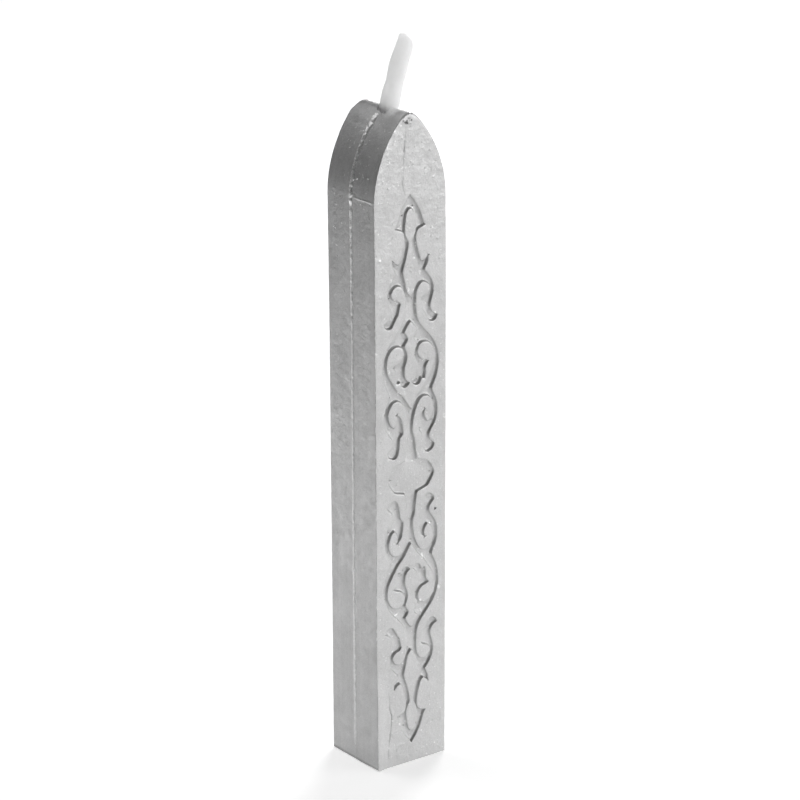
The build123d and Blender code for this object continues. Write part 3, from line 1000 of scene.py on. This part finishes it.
def cotton(name, tone):
    """Undyed cotton with fine fibres."""
    n = Nodes(name)
    value = n.math("ADD", n.spread(n.noise(6000, 4), -0.08, 0.06, 0.3, 0.7), tone)
    n.link(n.grey(value), n.shader.inputs["Base Color"])
    n.link(n.spread(n.noise(4000, 2), 0.8, 0.95, 0.3, 0.7), n.shader.inputs["Roughness"])
    n.link(n.bump(n.noise(9000, 3), 0.4, 0.00004), n.shader.inputs["Normal"])
    return n.material


def floor_material():
    """Plain pale floor that reads white to the camera and keeps the object's shadow. For reflected rays it
    also glows in a disc round the stick, a painted reflection that brightens the bar's sides though it is no
    lamp.
    """
    n = Nodes("pale_floor")
    value = n.math("ADD", n.spread(n.noise(20, 2), -0.005, 0.005, 0.3, 0.7), 0.9)
    n.link(n.grey(value), n.shader.inputs["Base Color"])
    n.shader.inputs["Roughness"].default_value = 0.9
    n.shader.inputs["Specular IOR Level"].default_value = 0.1
    path = n.add("ShaderNodeLightPath")
    reflected = n.math("MAXIMUM", path.outputs["Is Glossy Ray"], path.outputs["Is Transmission Ray"])
    away = n.add("ShaderNodeVectorMath", operation="LENGTH")
    n.link(n.place, away.inputs[0])
    distance = away.outputs["Value"]
    seen = n.math("MULTIPLY", path.outputs["Is Camera Ray"], n.spread(distance, 0.58, 0.84, 0.15, 0.5))
    # Painted reflection: glow seen only by reflected rays, strongest close to the stick and gone beyond about
    # a quarter metre
    far = n.spread(distance, 0.82, 0.0, 0.165, 0.257)
    near = n.spread(distance, 0.2, 0.0, 0.02, 0.1)
    mirrored = n.math("MULTIPLY", reflected, n.math("ADD", far, near))
    glow = n.add("ShaderNodeEmission")
    n.link(n.math("ADD", seen, mirrored), glow.inputs["Strength"])
    both = n.add("ShaderNodeAddShader")
    n.link(n.shader.outputs["BSDF"], both.inputs[0])
    n.link(glow.outputs["Emission"], both.inputs[1])
    n.link(both.outputs["Shader"], n.tree.nodes["Material Output"].inputs["Surface"])
    return n.material


def area_light(name, place, target, size, power, spread=180):
    """A soft lamp at a place in millimetres, facing a target, its beam narrowed to a spread in degrees."""
    data = bpy.data.lights.new(name, "AREA")
    data.shape = "RECTANGLE"
    data.size = size[0] * MM
    data.size_y = size[1] * MM
    data.energy = power
    data.spread = math.radians(spread)
    lamp = bpy.data.objects.new(name, data)
    bpy.context.scene.collection.objects.link(lamp)
    place = Vector(place) * MM
    way = Vector(target) * MM - place
    lamp.matrix_world = Matrix.Translation(place) @ way.to_track_quat("-Z", "Y").to_matrix().to_4x4()
    lamp.visible_camera = False


def around(bearing, elevation, distance):
    """Place round the stick in millimetres, its bearing in degrees from the front towards the right."""
    turn = math.radians(bearing)
    tilt = math.radians(elevation)
    level = distance * math.cos(tilt)
    return (level * math.sin(turn), -level * math.cos(turn), BAR_MIDDLE[2] + distance * math.sin(tilt))


def camera():
    """The photograph's viewpoint."""
    azimuth = math.radians(-36.65)
    elevation = math.radians(18.05)
    roll = math.radians(-0.12)
    distance = 400.6
    target = Vector((2.229, 0.312, 49.852))
    back = Vector((math.sin(azimuth) * math.cos(elevation), -math.cos(azimuth) * math.cos(elevation),
                   math.sin(elevation)))
    right = Vector((0, 0, 1)).cross(back).normalized()
    up = back.cross(right)
    turn = Matrix((right, up, back)).transposed().to_4x4() @ Matrix.Rotation(roll, 4, "Z")
    data = bpy.data.cameras.new("camera")
    data.sensor_width = 36
    data.lens = 135.8
    data.clip_start = 0.01
    obj = bpy.data.objects.new("camera", data)
    bpy.context.scene.collection.objects.link(obj)
    obj.matrix_world = Matrix.Translation((target + back * distance) * MM) @ turn
    bpy.context.scene.camera = obj


wax = silver_wax("silver_wax", tone=0.6, top_tone=0.6, patch_scale=300, patch_share=0.035,
                 rough=0.4, top_rough=0.4)
# Paler wax for the left bead, paler still towards the arch: partly the whitish torn flash, partly painted
# light on the shaded side, as the right bead keeps the plain wax
bead_wax_painted_light = silver_wax("bead_wax_painted_light", tone=0.82, top_tone=1.0, patch_scale=2500, patch_share=0.08,
                      rough=0.36, top_rough=0.22)
wick_wax = white_wick_wax()
braid_cotton = cotton("braid_cotton", 0.78)
yarn_cotton = cotton("yarn_cotton", 0.72)

front = wax_half("bar_front", FRONT_SEED, FRONT_HAIRLINES, FRONT_DOTS, wax)
rear = wax_half("bar_rear", REAR_SEED, [], [], wax)
rear.data.transform(Matrix.Rotation(math.pi, 4, "Z"))
for half, node in ((front, "front_half"), (rear, "rear_half")):
    cut_channel(half, node)
    smooth(half, 50)
    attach(half, "root")
    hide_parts(node)

for side, seed in ((-1, 11), (1, 12)):
    word = "left" if side < 0 else "right"
    # The left bead, on the shaded side, takes the paler wax with painted light; the right one takes the plain
    # wax
    bead = seam_bead(f"seam_{word}", side, seed, bead_wax_painted_light if side < 0 else wax)
    smooth(bead, 70)
    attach(bead, "root")
    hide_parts(f"seam_bead_{word}")

coat = wick_coat(wick_wax)
braid = cord_layer("wick_braid_sleeve", BRAID_RADIUS, BRAID_BORE, strands=6, pitch=3.4, lift=0.12,
                   material=braid_cotton)
yarn = cord_layer("wick_core_yarn", YARN_RADIUS, 0, strands=3, pitch=2.0, lift=0.08, material=yarn_cotton)
for piece, node, slot_name in ((coat, "wick_coat", "wick_wax"), (braid, "wick_braid", "cotton"),
                               (yarn, "wick_core", "cotton")):
    smooth(piece, 60)
    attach(piece, "root")
    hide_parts(node)

floor_size = 2000
floor = make_object("floor", [(-floor_size, -floor_size, 0), (floor_size, -floor_size, 0),
                              (floor_size, floor_size, 0), (-floor_size, floor_size, 0)],
                    [(0, 1, 2, 3)], floor_material())

world = bpy.data.worlds.new("studio")
world.use_nodes = True
world.node_tree.nodes["Background"].inputs["Color"].default_value = (0.005, 0.005, 0.005, 1)
bpy.context.scene.world = world

upper_bar = (0, 0, 60)
area_light("key", around(35, 3.7, 1000), BAR_MIDDLE, size=(430, 220), power=3.5)
area_light("side_key", around(55, 12, 1000), BAR_MIDDLE, size=(430, 430), power=2.05)
area_light("overhead", (-60, 120, 600), upper_bar, size=(300, 300), power=0.75)
area_light("rear_left", around(-150, 45, 500), upper_bar, size=(240, 240), power=0.28)
area_light("back", around(128, 14, 900), BAR_MIDDLE, size=(400, 400), power=0.66, spread=50)
area_light("floor_bounce", (-85, 125, 0.6), (-85, 125, 60), size=(106, 180), power=0.042)

camera()
bpy.context.scene.view_settings.view_transform = "Standard"
